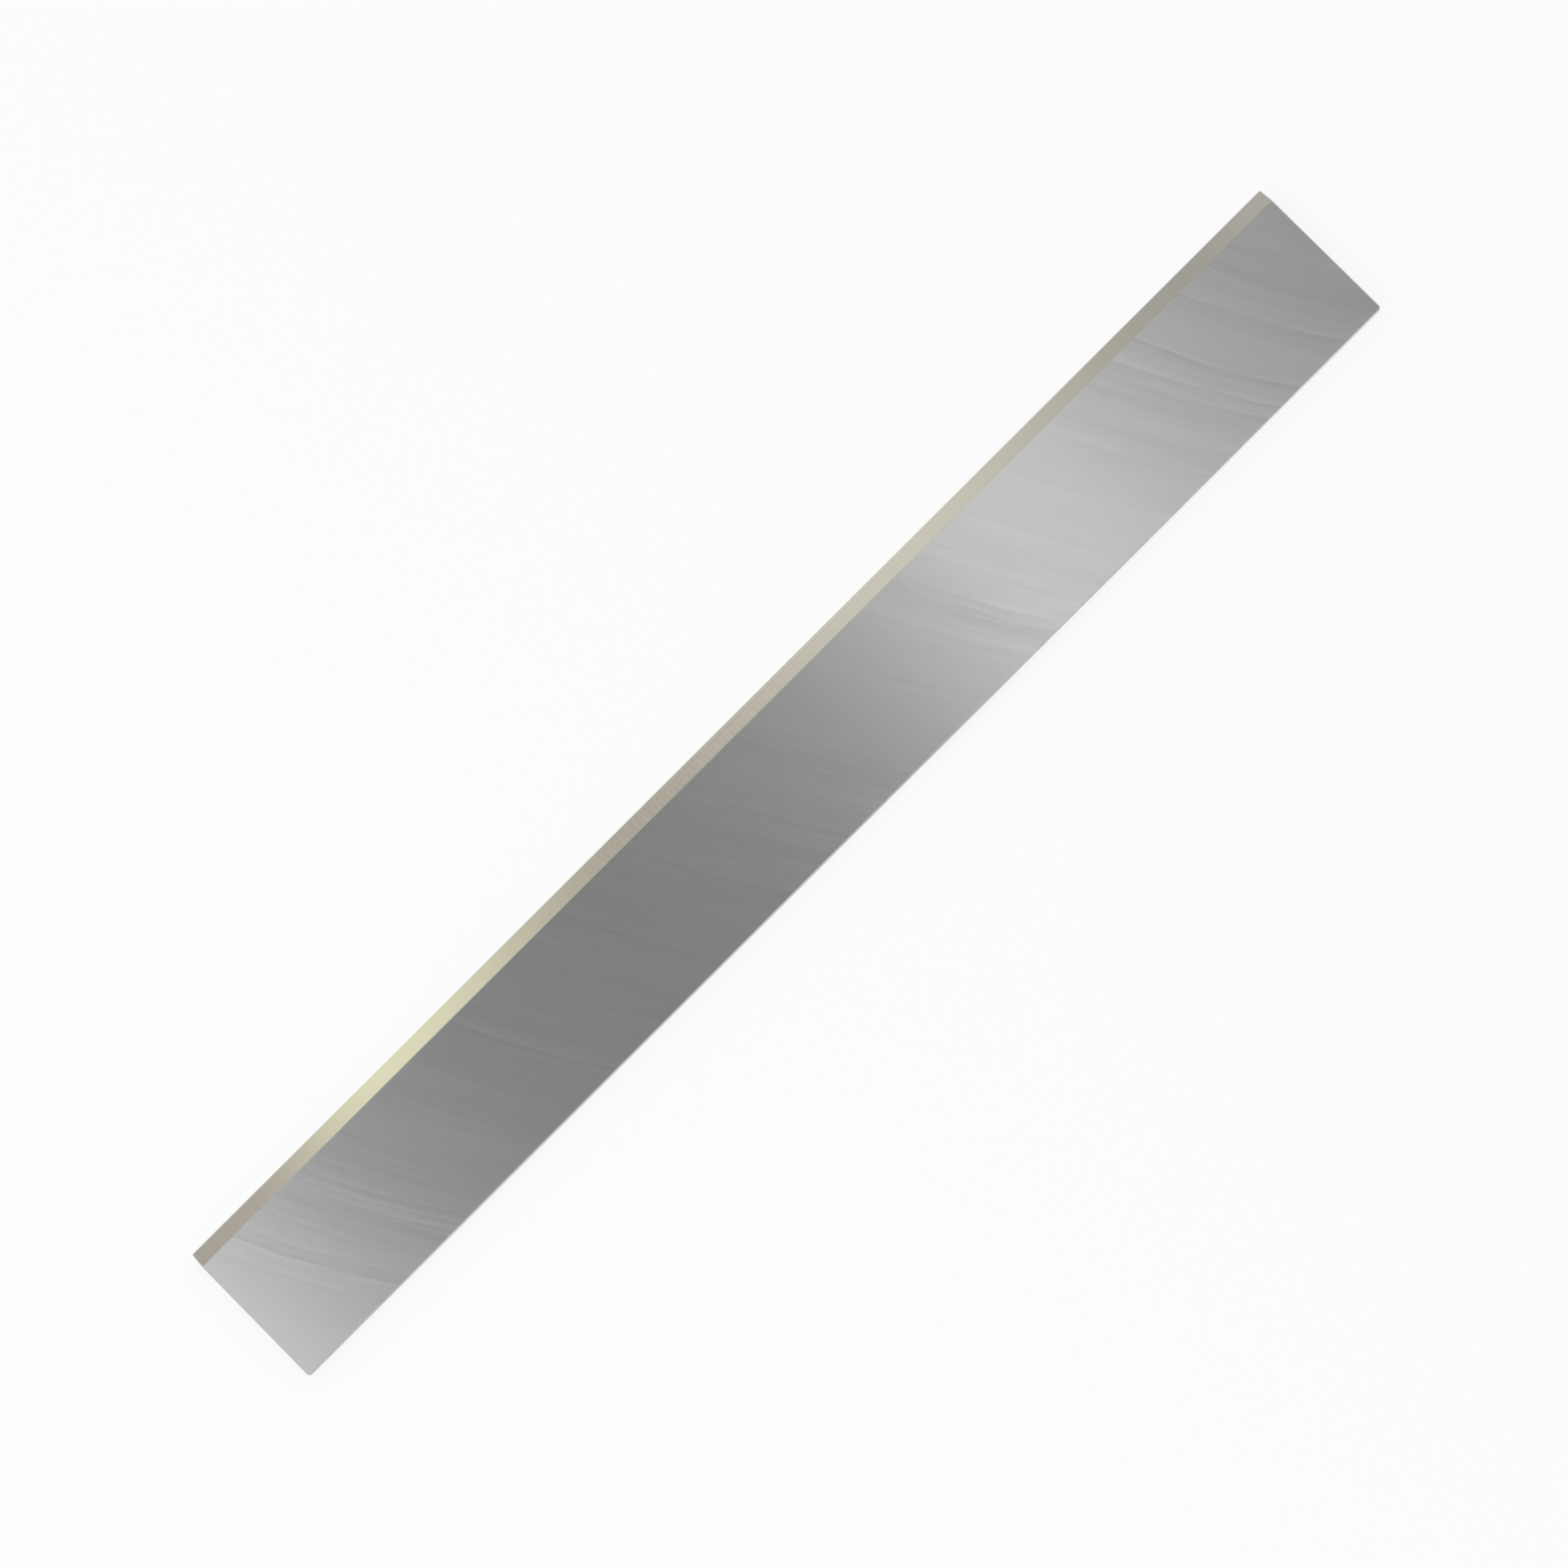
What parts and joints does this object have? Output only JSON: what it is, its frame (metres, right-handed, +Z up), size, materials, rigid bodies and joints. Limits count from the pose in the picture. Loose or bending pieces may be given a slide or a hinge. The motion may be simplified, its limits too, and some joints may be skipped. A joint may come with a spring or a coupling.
{
  "type": "planer knife",
  "caption": "Flat straight planer knife of ground steel with a single bevel along one long side, clamped in a cutterhead slot to plane wood.",
  "frame": {"origin": "middle of the seat face, which is the whole width from the back edge to the cutting edge", "axes": "+X along the knife, +Y across it from the back edge towards the cutting edge, +Z up through the thickness from the seat face to the clamp face"},
  "size_m": [0.31, 0.035, 0.003],
  "materials": {
    "ground_steel": "fine surface-ground steel, satin, with faint grinding lines"
  },
  "bodies": {
    "root": {"planer_knife": "ground_steel"}
  },
  "joints": []
}
